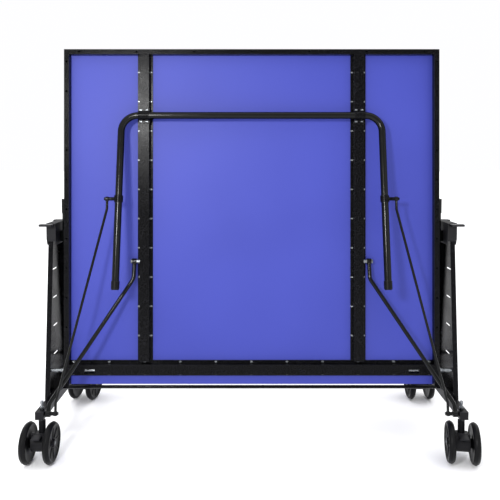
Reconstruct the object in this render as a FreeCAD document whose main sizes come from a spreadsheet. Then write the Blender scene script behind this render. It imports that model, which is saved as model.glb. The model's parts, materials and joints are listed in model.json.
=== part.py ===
"""Roll-away ping pong table: two halves that fold up between slotted uprights on four casters.

Millimetres, +Z up, X across the table, origin on the floor under the middle of the frame.
It is drawn folded up for storage. The front half is on the -Y side, the rear half on +Y.
"""
import FreeCAD, Part
import math
import os
import re

import Sketcher

Vec = FreeCAD.Vector
X_AXIS = Vec(1, 0, 0)
Y_AXIS = Vec(0, 1, 0)
Z_AXIS = Vec(0, 0, 1)

doc = FreeCAD.newDocument("PingPongTable")

# ---------------------------------------------------------------- driving sizes
SIZES = [
    # table top
    ("boardWide", 1525, "width of the playing surface"),
    ("boardLong", 1370, "length of one half, net edge to end line"),
    ("boardThick", 22, "thickness of the board"),
    ("boardCorner", 10, "corner radius of the board"),
    ("playHigh", 760, "height of the playing surface"),
    ("netGap", 2, "net edge to the net's plane, in play"),
    # folded position of the underside at the net edge
    ("storeOut", 100, "distance out from the net's plane"),
    ("storeGap", 59, "net edge above the underside of the base rails"),
    ("storeLean", 2.5, "lean towards the middle, degrees"),
    # steel under the board
    ("railWide", 20, "edge rail, seen from below"),
    ("railDeep", 30, "edge rail, depth under the board"),
    ("railWall", 1.5, "edge rail, wall"),
    ("sheetThick", 2, "pressed beams and uprights, sheet thickness"),
    ("beamOff", 436.5, "leg beam, centre to centre line of the table"),
    ("beamWide", 62, "leg beam, width over its flanges"),
    ("beamTop", 38, "leg beam, width of its raised top"),
    ("beamDeep", 28, "depth of the pressed beams"),
    ("crossUp", 67, "cross beam, centre above the net edge"),
    ("crossWide", 64, "cross beam, width over its flanges"),
    ("crossTop", 40, "cross beam, width of its raised top"),
    ("windowIn", 102.5, "cross beam window, centre inside the board's side edge"),
    ("windowLong", 44, "cross beam window, length"),
    ("windowHigh", 20, "cross beam window, height"),
    ("screwRadius", 4.5, "screw head, radius over its corners"),
    ("screwHigh", 3, "screw head, height"),
    ("screwEnd", 90, "first screw of a leg beam from the end line"),
    ("crossPitch", 146, "screw pitch along the cross beam"),
    ("railPitch", 120, "screw pitch along the side rails and leg beams"),
    ("endPitch", 234, "screw pitch along the end rail"),
    # guide axle that runs in the uprights
    ("axleUp", 61, "guide axle above the net edge"),
    ("axleDrop", 14, "guide axle below the underside"),
    ("axleRadius", 8, "guide axle, radius"),
    ("collarLip", 4, "guide axle collar, past the axle's radius"),
    ("collarLong", 7.5, "guide axle collar, length"),
    ("rollerRadius", 12, "guide roller, radius"),
    ("rollerLong", 14, "guide roller, length"),
    ("runFit", 0.05, "radial running clearance of pins and axles"),
    ("sideGap", 0.5, "gap beside eyes, rollers and collars"),
    # legs
    ("legBack", 271, "leg pivot from the end line"),
    ("legSeat", 3, "leg tube to the raised top of its beams"),
    ("legHalf", 524, "leg tube, centre to centre line of the table"),
    ("legBend", 66, "leg tube, bend radius at its centre line"),
    ("legRadius", 14, "leg tube, radius"),
    ("legWall", 1.5, "leg tube, wall"),
    ("legTilt", 12.5, "folded leg, angle from upright, degrees"),
    ("legIn", 2.66, "leg in play, foot inwards from upright, degrees"),
    ("footLong", 30, "foot cap, length"),
    ("footWall", 2, "foot cap, wall round the tube"),
    ("footSole", 4, "foot cap, thickness of its sole"),
    ("footGrip", 18, "foot cap, overlap on the tube"),
    ("clampWide", 42, "leg clamp along the tube"),
    ("clampPlate", 4, "leg clamp, plate thickness"),
    ("clampEdge", 3, "leg clamp, plate past its screws"),
    ("clampScrew", 12, "leg clamp, screws from its middle along the tube"),
    # leg rods
    ("rodTopGap", 31, "rod, top eye outside the leg tube"),
    ("rodEndGap", 55, "rod, bottom eye inside its base rail's centre"),
    ("rodRadius", 5, "rod, radius"),
    ("rodEye", 9, "rod eye, radius"),
    ("rodEyeThick", 11, "rod eye, thickness"),
    ("rodPin", 4, "rod pin, radius"),
    ("rodRun", 40, "rod, straight run at each end"),
    ("rodCollarHalf", 13, "rod collar on the leg tube, half height"),
    ("rodCollarWall", 3.5, "rod collar on the leg tube, wall"),
    # board struts
    ("strutUp", 507, "strut pin above the net edge"),
    ("strutDrop", 20, "strut pin below the underside"),
    ("strutTopGap", 22.5, "strut, top eye outside its beam's raised top"),
    ("strutEndGap", 28, "strut, bottom eye inside its base rail's centre"),
    ("strutRadius", 8, "strut, radius"),
    ("strutEye", 12, "strut eye, radius"),
    ("strutEyeThick", 17, "strut eye, thickness"),
    ("strutPin", 6, "strut pin, radius"),
    ("strutTopRun", 70, "strut, straight run at its top"),
    ("strutEndRun", 34, "strut, straight run at its bottom"),
    ("bossWall", 2, "pin bosses, wall round the pin"),
    ("nutLip", 3, "pin nuts, past the pin's radius"),
    ("nutThick", 5.5, "pin nuts, thickness"),
    # rolling frame
    ("swivelGap", 12, "base rails above the tops of the wheels"),
    ("railGap", 39.5, "base rail, centre outside the board's side edge"),
    ("baseWide", 32, "base rail, width"),
    ("baseTall", 30, "base rail, height"),
    ("baseWall", 2, "base rail, wall"),
    ("basePast", 15.6, "base rail, past its pins"),
    ("pinLift", 16, "base pins above the rails' underside"),
    ("tieOff", 34, "tie bar to the net's plane"),
    ("tieLift", 21, "tie bar above the rails' underside"),
    ("tieRadius", 7, "tie bar, radius"),
    ("plugLip", 4, "rail end plug, lip thickness"),
    ("plugDeep", 12, "rail end plug, depth in the rail"),
    # uprights
    ("postGap", 75.5, "upright, outer face outside the board's side edge"),
    ("postDeep", 20, "upright, depth of its flanges"),
    ("postRise", 90, "upright, top above the playing surface"),
    ("postLift", 8, "upright, foot above the rails' underside"),
    ("spacerHalf", 60, "spacer between upright and rail, half length"),
    ("spacerEase", 4, "spacer, inside the rail's height"),
    ("slotLong", 50, "upright slot, length"),
    ("slotHigh", 6, "upright slot, height"),
    ("slotPitch", 120, "upright slot, pitch"),
    ("slotFirst", 151, "lowest upright slot above the foot"),
    ("slotClear", 20, "slots stop this far under the cap"),
    # caps, levers and net
    ("capRise", 35, "cap, underside above the playing surface"),
    ("capTall", 90, "cap, height"),
    ("capWall", 4, "cap, wall"),
    ("capEase", 8, "cap, clear space behind the upright's flanges"),
    ("capFront", 2, "cap, web of the upright to the outside of the cap's wall"),
    ("capChamfer", 26, "cap, chamfer along its lower ends"),
    ("capShoulder", 10, "cap, chamfer across its lower ends"),
    ("leverWide", 56, "release lever, width"),
    ("leverLong", 30, "release lever, reach past its pivot"),
    ("leverThick", 8, "release lever, thickness"),
    ("leverRound", 12, "release lever, corner radius"),
    ("leverOut", 7, "lever pivot outside the cap"),
    ("leverUnder", 6, "lever pivot under the cap's top"),
    ("leverEye", 5, "lever hinge barrel, radius"),
    ("leverPin", 2, "lever and pedal pins, radius"),
    ("leverEnd", 7, "lever pin, short of the barrel's closed end"),
    ("lugThick", 4.5, "lever lug, thickness"),
    ("lugTall", 11, "lever lug, height"),
    ("netHigh", 152.5, "net above the playing surface"),
    ("netDrop", 148, "net, top to bottom"),
    ("netThick", 2, "net, thickness"),
    ("netPostGap", 29.5, "net post, centre outside the board's side edge"),
    ("netPostRadius", 9, "net post, radius"),
    ("netPostPast", 8, "net post, past the top of the net"),
    ("netFootHalf", 13, "net post foot, half width"),
    ("netFootTall", 44, "net post foot, height"),
    ("netFootUp", 8, "net post foot, above the cap's underside"),
    ("knobHigh", 60, "net post knob, height"),
    ("knobLip", 2, "net post knob, past the post's radius"),
    ("tapeHigh", 15, "net tape, height"),
    # casters
    ("stemBack", 28, "caster stem from the end of its rail"),
    ("stemRadius", 5, "caster stem, radius"),
    ("stemPast", 33, "caster stem, past the top of its rail"),
    ("stemDeep", 44, "caster stem, depth in the neck"),
    ("nutRadius", 8.5, "stem nut, radius over its corners"),
    ("nutHigh", 8, "stem nut, height"),
    ("crownRadius", 7, "cap nut on a stem, radius"),
    ("boltRadius", 8, "frame bolt head, radius over its corners"),
    ("boltHigh", 5, "frame bolt head, height"),
    ("boltOff", 42, "frame bolt to the net's plane"),
    ("trail", 28, "wheel axle behind the stem"),
    ("wheelRadius", 77, "caster wheel, radius"),
    ("wheelThick", 28, "caster wheel, thickness"),
    ("wheelPitch", 88, "between the two wheels of a caster"),
    ("wheelAxle", 4, "caster axle, radius"),
    ("wheelSide", 4, "caster body to the wheels"),
    ("treadFall", 7, "tread, fall from its crown to its edge"),
    ("treadEdge", 1.5, "tread, inset of its edges"),
    ("rimDeep", 12, "rim, from the crown to the dish"),
    ("dishDeep", 8, "outer dish of a wheel, depth"),
    ("dishIn", 5, "inner dish of a wheel, depth"),
    ("dishRadius", 26, "foot of the outer dish, radius"),
    ("bossRadius", 16, "wheel boss, radius"),
    ("axleShort", 3, "axle end inside the wheel's face"),
    ("neckRadius", 13, "caster neck, radius"),
    ("neckGap", 14, "caster neck to the rail above it"),
    ("hubRadius", 31, "caster body, radius round its axle"),
    ("backLow", 18, "caster body, below the axle"),
    ("backHigh", 29, "caster body, above the axle"),
    ("pedalUp", 36, "pedal pin above the axle"),
    ("pedalBack", 13, "pedal pin behind the axle"),
    ("pedalHalf", 16, "brake pedal, half width"),
    ("pedalLong", 42, "brake pedal, length"),
    ("pedalThick", 5.5, "brake pedal, thickness"),
    ("pedalEye", 4.5, "brake pedal barrel, radius"),
    ("pedalLugHalf", 7, "pedal lug, half length"),
]

sheet = doc.addObject("Spreadsheet::Sheet", "Sizes")
for row, (alias, value, note) in enumerate(SIZES, 1):
    sheet.set("A%d" % row, note)
    sheet.set("B%d" % row, str(value))
    sheet.setAlias("B%d" % row, alias)
doc.recompute()
size = {alias: float(sheet.get(alias)) for alias, _, _ in SIZES}


# ---------------------------------------------------------------- how a half folds
# Outward distance and height of the points that the linkage joins, folded and in play.
lean = math.radians(size["storeLean"])
play_under = size["playHigh"] - size["boardThick"]
base_up = 2 * size["wheelRadius"] + size["swivelGap"]
store_up = base_up + size["storeGap"]
pin_up = base_up + size["pinLift"]
leg_up = size["boardLong"] - size["legBack"]
leg_drop = size["beamDeep"] + size["legSeat"] + size["legRadius"]


def folded(up, drop):
    """Outward distance and height, folded, of a point on a half."""
    out = size["storeOut"] - up * math.sin(lean) + drop * math.cos(lean)
    return out, store_up + up * math.cos(lean) + drop * math.sin(lean)


def in_play(up, drop):
    """The same point with the half level."""
    return size["netGap"] + up, play_under - drop


def between(a, b):
    return math.hypot(a[0] - b[0], a[1] - b[1])


axle_folded = folded(size["axleUp"], size["axleDrop"])
axle_play = in_play(size["axleUp"], size["axleDrop"])
strut_folded = folded(size["strutUp"], size["strutDrop"])
strut_play = in_play(size["strutUp"], size["strutDrop"])

# The base pin stands where the strut has one length at both ends of the fold.
rise_play = strut_play[1] - pin_up
rise_folded = strut_folded[1] - pin_up
squares = strut_play[0] ** 2 - strut_folded[0] ** 2 + rise_play ** 2 - rise_folded ** 2
base_pin = (squares / (2 * (strut_play[0] - strut_folded[0])), pin_up)
strut_long = between(strut_folded, base_pin)

leg_folded = folded(leg_up, leg_drop)
leg_play = in_play(leg_up, leg_drop)
tilt = math.radians(size["legTilt"])
leg_in = math.radians(size["legIn"])

# The rod pin sits where on the leg the rod, too, has one length at both ends of the fold.
far_folded = (leg_folded[0] - base_pin[0], leg_folded[1] - base_pin[1])
far_play = (leg_play[0] - base_pin[0], leg_play[1] - base_pin[1])
squares = far_play[0] ** 2 + far_play[1] ** 2 - far_folded[0] ** 2 - far_folded[1] ** 2
slope_folded = far_folded[0] * math.sin(tilt) - far_folded[1] * math.cos(tilt)
slope_play = -far_play[0] * math.sin(leg_in) - far_play[1] * math.cos(leg_in)
rod_down = squares / (2 * (slope_folded - slope_play))
rod_folded = (leg_folded[0] + rod_down * math.sin(tilt), leg_folded[1] - rod_down * math.cos(tilt))
rod_long = between(rod_folded, base_pin)
foot_radius = size["legRadius"] + size["footWall"]
leg_long = (leg_play[1] - foot_radius * math.sin(leg_in)) / math.cos(leg_in)

track = (axle_folded[0] - axle_play[0]) / (axle_play[1] - axle_folded[1])


def post_half(height):
    """Half the upright's width at a height: its flanges run beside the guide rollers."""
    roller = axle_folded[0] - track * (height - axle_folded[1])
    side = size["rollerRadius"] + size["sideGap"]
    return roller + (side + size["sheetThick"]) * math.hypot(1, track)


side_edge = size["boardWide"] / 2
base_off = side_edge + size["railGap"]
post_foot = base_up + size["postLift"]
post_top = size["playHigh"] + size["postRise"]
cap_low = size["playHigh"] + size["capRise"]
base_half = base_pin[0] + size["basePast"]
PLACES = {
    "baseOut": base_pin[0], "pinUp": pin_up,
    "strutLong": strut_long, "rodLong": rod_long, "rodDown": rod_down, "legLong": leg_long,
    "legUp": leg_up, "legDrop": leg_drop, "footRadius": foot_radius,
    "rodTopOff": size["legHalf"] + size["legRadius"] + size["rodTopGap"],
    "rodEndOff": base_off - size["rodEndGap"],
    "strutTopOff": size["beamOff"] + size["beamTop"] / 2 + size["strutTopGap"],
    "strutEndOff": base_off - size["strutEndGap"],
    "baseOff": base_off, "baseUp": base_up, "baseHalf": base_half,
    "tieUp": base_up + size["tieLift"], "stemOff": base_half - size["stemBack"],
    "neckTop": base_up - size["neckGap"], "stemTop": base_up + size["baseTall"] + size["stemPast"],
    "postOff": side_edge + size["postGap"], "postFoot": post_foot, "postTop": post_top,
    "postLow": post_half(post_foot), "postHigh": post_half(post_top),
    "capLow": cap_low, "capTop": cap_low + size["capTall"],
    "capHalf": post_half(cap_low) + size["capWall"] + 2 * size["sideGap"],
    "capInner": side_edge + size["postGap"] - size["postDeep"] - size["capWall"] - size["capEase"],
    "netPostOff": side_edge + size["netPostGap"],
    "netTop": size["playHigh"] + size["netHigh"],
    "windowOff": side_edge - size["windowIn"],
    "beamLong": size["boardLong"] - size["railWide"] - size["crossUp"] - size["crossWide"] / 2,
    "clampReach": size["legRadius"] + size["clampPlate"] + size["screwRadius"] + 2 * size["sideGap"],
}
places = doc.addObject("Spreadsheet::Sheet", "Places")
for row, (alias, value) in enumerate(PLACES.items(), 1):
    places.set("A%d" % row, "worked out from the sizes and the linkage")
    places.set("B%d" % row, repr(value))
    places.setAlias("B%d" % row, alias)
doc.recompute()
size.update(PLACES)


# ---------------------------------------------------------------- drawing helpers
def linked(expression):
    """Points every named size in an expression at its spreadsheet cell."""
    def cell(match):
        word = match.group()
        if word in PLACES:
            return "Places." + word
        return "Sizes." + word if word in size else word
    return re.sub(r"[A-Za-z]\w*", cell, str(expression))


def worth(expression):
    return float(sheet.evalExpression(linked(expression)))


def bind(thing, **expressions):
    for prop, expression in expressions.items():
        thing.setExpression(prop.replace("__", "."), linked(expression))


def new_body(name):
    return doc.addObject("PartDesign::Body", name)


def origin_plane(body, role):
    return next(f for f in body.Origin.OriginFeatures if f.Role == role)


def new_sketch(body, role, name, lift="0"):
    """A sketch on one of the body's planes, lifted along that plane's normal."""
    sketch = body.newObject("Sketcher::SketchObject", name)
    sketch.AttachmentSupport = [(origin_plane(body, role), "")]
    sketch.MapMode = "FlatFace"
    sketch.setExpression("AttachmentOffset.Base.z", linked(lift))
    return sketch


def hold_point(sketch, edge, end, across, up):
    """Pins one point of a sketch to two named distances from its origin."""
    for kind, expression in (("DistanceX", across), ("DistanceY", up)):
        index = sketch.addConstraint(Sketcher.Constraint(kind, -1, 1, edge, end, worth(expression)))
        sketch.setExpression("Constraints[%d]" % index, linked(expression))


def outline(sketch, points):
    """A closed outline through points given as pairs of expressions."""
    corners = [Vec(worth(across), worth(up), 0) for across, up in points]
    first = sketch.GeometryCount
    for here, there in zip(corners, corners[1:] + corners[:1]):
        sketch.addGeometry(Part.LineSegment(here, there), False)
    count = len(points)
    for i in range(count):
        after = first + (i + 1) % count
        sketch.addConstraint(Sketcher.Constraint("Coincident", first + i, 2, after, 1))
        hold_point(sketch, first + i, 1, *points[i])


def oblong(sketch, across, up, wide, high):
    """A rectangle about a centre."""
    sides = [(-1, -1), (1, -1), (1, 1), (-1, 1)]
    outline(sketch, [("%s + %d * (%s) / 2" % (across, a, wide), "%s + %d * (%s) / 2" % (up, b, high))
                     for a, b in sides])


def circle(sketch, across, up, radius):
    centre = Vec(worth(across), worth(up), 0)
    edge = sketch.addGeometry(Part.Circle(centre, Z_AXIS, worth(radius)), False)
    index = sketch.addConstraint(Sketcher.Constraint("Radius", edge, worth(radius)))
    sketch.setExpression("Constraints[%d]" % index, linked(radius))
    hold_point(sketch, edge, 3, across, up)


def pad(body, sketch, length, both_ways=False, backwards=False):
    feature = body.newObject("PartDesign::Pad", sketch.Name + "Pad")
    feature.Profile = sketch
    bind(feature, Length=length)
    feature.SideType = "Symmetric" if both_ways else "One side"
    feature.Reversed = backwards
    sketch.Visibility = False
    return feature


def pocket(body, sketch, length, both_ways=False, backwards=False):
    """Cuts a sketch out of a body, and makes sure that it did cut."""
    doc.recompute()
    before = body.Shape.Volume
    feature = body.newObject("PartDesign::Pocket", sketch.Name + "Pocket")
    feature.Profile = sketch
    bind(feature, Length=length)
    feature.SideType = "Symmetric" if both_ways else "One side"
    feature.Reversed = backwards
    doc.recompute()
    if body.Shape.Volume > before - 1:
        raise RuntimeError("%s cuts nothing" % sketch.Name)
    return feature


def solid(kind, name, at=("0", "0", "0"), turn=None, **expressions):
    """A Part primitive whose sizes and place are named expressions."""
    thing = doc.addObject("Part::" + kind, name)
    if turn is not None:
        thing.Placement = FreeCAD.Placement(Vec(), turn)
    bind(thing, **expressions)
    for letter, expression in zip("xyz", at):
        thing.setExpression("Placement.Base." + letter, linked(expression))
    return thing


ALONG_X = FreeCAD.Rotation(Y_AXIS, 90)


def bar_x(name, radius, start, end, y="0", z="0"):
    """A round bar along X between two distances from the centre line."""
    return solid("Cylinder", name, (start, y, z), ALONG_X, Radius=radius, Height="%s - (%s)" % (end, start))


def bar_z(name, radius, low, high, x="0", y="0"):
    return solid("Cylinder", name, (x, y, low), None, Radius=radius, Height="%s - (%s)" % (high, low))


def block(name, x, y, z):
    """A block between pairs of named limits."""
    return solid("Box", name, (x[0], y[0], z[0]), None, Length="%s - (%s)" % (x[1], x[0]),
                 Width="%s - (%s)" % (y[1], y[0]), Height="%s - (%s)" % (z[1], z[0]))


def fuse(name, *things):
    joined = doc.addObject("Part::MultiFuse", name)
    joined.Shapes = list(things)
    joined.Refine = True
    return joined


def cut(name, base, *tools):
    result = doc.addObject("Part::Cut", name)
    result.Base = base
    result.Tool = tools[0] if len(tools) == 1 else fuse(name + "Tools", *tools)
    return result


def mirrored(name, source):
    other = doc.addObject("Part::Mirroring", name)
    other.Source = source
    other.Normal = X_AXIS
    return other


def pair(name, source):
    """A piece and its mirror image on the other side of the table."""
    both = doc.addObject("Part::Compound", name)
    both.Links = [source, mirrored(name + "Mirror", source)]
    return both


def shaped(name, shape):
    thing = doc.addObject("Part::Feature", name)
    thing.Shape = shape
    return thing


nodes = []


def node(label, source, placement=FreeCAD.Placement()):
    """Names a finished sub-part and puts it in its place."""
    piece = doc.addObject("Part::Compound", label)
    piece.Label = label
    piece.Links = [source] if not isinstance(source, (list, tuple)) else list(source)
    piece.Placement = placement
    nodes.append(piece)
    return piece


def tube_path(points, radii):
    """Straight runs through points in one plane, joined by tangent arcs."""
    points = [Vec(*p) for p in points]
    edges = []
    start = points[0]
    for before, corner, after, radius in zip(points, points[1:], points[2:], radii):
        back = (before - corner).normalize()
        ahead = (after - corner).normalize()
        half = back.getAngle(ahead) / 2
        reach = radius / math.tan(half)
        enter = corner + back * reach
        leave = corner + ahead * reach
        middle = (back + ahead).normalize()
        crown = corner + middle * (radius / math.sin(half) - radius)
        edges.append(Part.LineSegment(start, enter).toShape())
        edges.append(Part.Arc(enter, crown, leave).toShape())
        start = leave
    edges.append(Part.LineSegment(start, points[-1]).toShape())
    return Part.Wire(edges)


def along(path, radius):
    """A round section carried along a path."""
    start = path.Edges[0].Vertexes[0].Point
    heading = path.Edges[0].tangentAt(path.Edges[0].FirstParameter)
    ring = Part.Wire(Part.makeCircle(radius, start, heading))
    return path.makePipeShell([ring], True, False)


# ---------------------------------------------------------------- one half, in its own frame
# The underside lies in XZ, Z runs up from the net edge and -Y points out of the underside.
def make_board():
    body = new_body("board")
    sketch = new_sketch(body, "XZ_Plane", "boardSketch")
    oblong(sketch, "0", "boardLong / 2", "boardWide", "boardLong")
    block_pad = pad(body, sketch, "boardThick", backwards=True)
    doc.recompute()
    corners = ["Edge%d" % (i + 1) for i, e in enumerate(block_pad.Shape.Edges)
               if abs(e.tangentAt(e.FirstParameter).y) > 0.9]
    rounding = body.newObject("PartDesign::Fillet", "boardCorners")
    rounding.Base = (block_pad, corners)
    bind(rounding, Radius="boardCorner")
    return body


def row_of(count, pitch, first="0"):
    """Expressions for evenly spaced places along a line."""
    return ["%s + %d * %s" % (first, i, pitch) for i in range(count)]


def fits(reach, pitch):
    """How many screws at a pitch fit within a reach, with room for the last head."""
    return int((reach - 1.5 * size["screwRadius"]) // size[pitch])


def hollow_rail(body, name, role, across, along_wall):
    sketch = new_sketch(body, role, name)
    oblong(sketch, across[0], across[1], along_wall[0], along_wall[1])
    oblong(sketch, across[0], across[1], along_wall[0] + " - 2 * railWall", along_wall[1] + " - 2 * railWall")
    return sketch


def make_side_rail():
    body = new_body("sideRail")
    middle = "boardWide / 2 - railWide / 2"
    section = hollow_rail(body, "sideRailSection", "XY_Plane", (middle, "-railDeep / 2"),
                          ("railWide", "railDeep"))
    pad(body, section, "boardLong - railWide")
    heads = new_sketch(body, "XZ_Plane", "sideRailHoles", "railDeep")
    for up in row_of(fits(size["boardLong"] - size["railWide"], "railPitch"), "railPitch", "railPitch"):
        circle(heads, middle, up, "screwRadius")
    pocket(body, heads, "2 * railWall")
    bore = new_sketch(body, "YZ_Plane", "sideRailBore")
    circle(bore, "-axleDrop", "axleUp", "axleRadius + runFit")
    pocket(body, bore, "boardWide", backwards=True)
    return body


def make_end_rail():
    body = new_body("endRail")
    up = "boardLong - railWide / 2"
    section = hollow_rail(body, "endRailSection", "YZ_Plane", ("-railDeep / 2", up), ("railDeep", "railWide"))
    pad(body, section, "boardWide", both_ways=True)
    heads = new_sketch(body, "XZ_Plane", "endRailHoles", "railDeep")
    most = fits(side_edge, "endPitch")
    for i in range(-most, most + 1):
        circle(heads, "%d * endPitch" % i, up, "screwRadius")
    pocket(body, heads, "2 * railWall")
    return body


def hat_points(wide, top, centre=None, upright=True):
    """A pressed hat section: two flanges against the board and a raised top."""
    deep = "-beamDeep"
    sheet_out = "-sheetThick"
    half, rise = "(%s) / 2" % wide, "(%s) / 2" % top
    inner = "((%s) / 2 - sheetThick)" % top
    inside = "-beamDeep + sheetThick"
    side = [("-" + half, "0"), ("-" + half, sheet_out), ("-" + rise, sheet_out), ("-" + rise, deep),
            (rise, deep), (rise, sheet_out), (half, sheet_out), (half, "0"),
            (inner, "0"), (inner, inside), ("-" + inner, inside), ("-" + inner, "0")]
    shift = centre or "0"
    placed = [("%s + (%s)" % (shift, a), b) for a, b in side]
    return placed if upright else [(b, a) for a, b in placed]


def make_leg_beam():
    body = new_body("legBeam")
    sketch = new_sketch(body, "XY_Plane", "legBeamSection")
    outline(sketch, hat_points("beamWide", "beamTop", "beamOff"))
    sketch.setExpression("AttachmentOffset.Base.z", linked("crossUp + crossWide / 2 + sideGap"))
    pad(body, sketch, "beamLong - 2 * sideGap")
    return body


def make_cross_beam():
    body = new_body("crossBeam")
    sketch = new_sketch(body, "YZ_Plane", "crossBeamSection")
    outline(sketch, hat_points("crossWide", "crossTop", "crossUp", upright=False))
    pad(body, sketch, "boardWide - 2 * railWide - 2 * sideGap", both_ways=True)
    window = new_sketch(body, "XZ_Plane", "crossBeamWindows", "beamDeep + sheetThick")
    for sign in ("-", ""):
        oblong(window, sign + "windowOff", "axleUp", "windowLong", "windowHigh")
    pocket(body, window, "3 * sheetThick")
    return body


def make_leg_clamps():
    """Saddles that hold the leg's top tube against the leg beams."""
    low = "beamOff - clampWide / 2"
    high = "beamOff + clampWide / 2"
    reach = "(clampReach + screwRadius + clampEdge)"
    plate = block("clampBase", (low, high), ("-beamDeep - clampPlate", "-beamDeep"),
                  ("legUp - " + reach, "legUp + " + reach))
    hump = bar_x("clampHump", "legRadius + clampPlate", low, high, "-legDrop", "legUp")
    cheeks = block("clampCheeks", (low, high), ("-legDrop", "-beamDeep"),
                   ("legUp - legRadius - clampPlate", "legUp + legRadius + clampPlate"))
    bore = bar_x("clampBore", "legRadius + runFit", low + " - 1", high + " + 1", "-legDrop", "legUp")
    seat = block("clampSeat", (low + " - 1", high + " + 1"), ("-beamDeep", "0"),
                 ("legUp - 2 * " + reach, "legUp + 2 * " + reach))
    return pair("legClamps", cut("legClamp", fuse("clampBlank", plate, hump, cheeks), bore, seat))


def hexagon(radius, high):
    """A hexagon prism that stands on XY."""
    points = [Vec(radius * math.cos(math.radians(a)), radius * math.sin(math.radians(a)), 0)
              for a in range(0, 361, 60)]
    return Part.Face(Part.makePolygon(points)).extrude(Vec(0, 0, high))


def make_panel_screws():
    """The hexagon heads of every screw that holds the beams and clamps of one half."""
    spots = []
    flange = (size["beamWide"] + size["beamTop"]) / 4
    room = size["beamLong"] - size["screwEnd"] + size["railWide"]
    for side in (-1, 1):
        for edge in (-1, 1):
            across = side * size["beamOff"] + edge * flange
            for i in range(fits(room, "railPitch") + 1):
                up = size["boardLong"] - size["screwEnd"] - i * size["railPitch"]
                spots.append(Vec(across, -size["sheetThick"], up))
            for end in (-1, 1):
                spots.append(Vec(side * size["beamOff"] + edge * size["clampScrew"],
                                  -size["beamDeep"] - size["clampPlate"], leg_up + end * size["clampReach"]))
    rise = (size["crossWide"] + size["crossTop"]) / 4
    most = fits(side_edge - size["railWide"], "crossPitch")
    for i in range(-most, most + 1):
        for edge in (-1, 1):
            spots.append(Vec(i * size["crossPitch"], -size["sheetThick"], size["crossUp"] + edge * rise))
    head = hexagon(size["screwRadius"], size["screwHigh"])
    head.rotate(Vec(), X_AXIS, 90)
    return shaped("panelScrews", Part.makeCompound([head.translated(at) for at in spots]))


def make_strut_brackets():
    """Bosses on the leg beams with the pins that the struts turn on."""
    side = "beamOff + beamTop / 2"
    boss = bar_x("strutBoss", "strutPin + bossWall", side, "strutTopOff - strutEyeThick / 2 - sideGap",
                 "-strutDrop", "strutUp")
    nut_side = "strutTopOff + strutEyeThick / 2 + sideGap"
    pin = bar_x("strutPinBar", "strutPin", side, nut_side + " + nutThick", "-strutDrop", "strutUp")
    nut = bar_x("strutNut", "strutPin + nutLip", nut_side, nut_side + " + nutThick", "-strutDrop", "strutUp")
    return pair("strutBrackets", fuse("strutBracket", boss, pin, nut))


def make_guide_axle():
    """One axle right across the half, with a collar beside each side rail."""
    reach = "postOff - sheetThick - sideGap"
    shaft = bar_x("guideShaft", "axleRadius", "-(%s)" % reach, reach, "-axleDrop", "axleUp")
    start = "boardWide / 2 + sideGap"
    collar = bar_x("guideCollar", "axleRadius + collarLip", start, start + " + collarLong",
                   "-axleDrop", "axleUp")
    return fuse("guideAxle", shaft, collar, mirrored("guideCollarMirror", collar))


def make_guide_rollers():
    high = "postOff - sheetThick - 2 * sideGap"
    low = high + " - rollerLong"
    roller = bar_x("rollerBlank", "rollerRadius", low, high, "-axleDrop", "axleUp")
    bore = bar_x("rollerBore", "axleRadius + runFit", low + " - 1", high + " + 1", "-axleDrop", "axleUp")
    return pair("guideRollers", cut("guideRoller", roller, bore))


# ---------------------------------------------------------------- legs, rods and struts
# The leg hangs from X = 0, Z = 0 on its pivot; rods and struts hang from their top pins.
def make_leg():
    half, bend = size["legHalf"], size["legBend"]
    low = size["footLong"] + size["footSole"] - size["footGrip"] - leg_long
    path = tube_path([(-half, 0, low), (-half, 0, 0), (half, 0, 0), (half, 0, low)], [bend, bend])
    outer = along(path, size["legRadius"])
    bore = along(path, size["legRadius"] - size["legWall"])
    return shaped("legTube", outer.cut(bore))


def make_leg_feet():
    """Cup-shaped feet over the tube ends."""
    tube_end = "-legLong + footLong + footSole - footGrip"
    top = "-legLong + footLong + footSole"
    cup = bar_z("footCup", "footRadius", "-legLong + footSole", top, "legHalf")
    sole = bar_z("footSoleDisc", "legRadius", "-legLong", "-legLong + 2 * footSole", "legHalf")
    bore = bar_z("footBore", "legRadius", tube_end, top + " + 1", "legHalf")
    return pair("legFeet", cut("legFoot", fuse("footBlank", cup, sole), bore))


def make_rod_brackets():
    """Collars round the leg tubes with pins for the rods."""
    collar = bar_z("rodCollar", "legRadius + rodCollarWall", "-rodDown - rodCollarHalf",
                   "-rodDown + rodCollarHalf", "legHalf")
    nut_side = "rodTopOff + rodEyeThick / 2 + sideGap"
    boss = bar_x("rodBoss", "rodPin + nutLip", "legHalf + legRadius", "rodTopOff - rodEyeThick / 2 - sideGap",
                 "0", "-rodDown")
    pin = bar_x("rodPinBar", "rodPin", "legHalf + legRadius", nut_side + " + nutThick", "0", "-rodDown")
    nut = bar_x("rodNut", "rodPin + bossWall", nut_side, nut_side + " + nutThick", "0", "-rodDown")
    tube = bar_z("rodCollarBore", "legRadius", "-rodDown - 2 * rodCollarHalf",
                 "-rodDown + 2 * rodCollarHalf", "legHalf")
    return pair("rodBrackets", cut("rodBracket", fuse("rodBracketBlank", collar, boss, pin, nut), tube))


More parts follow.
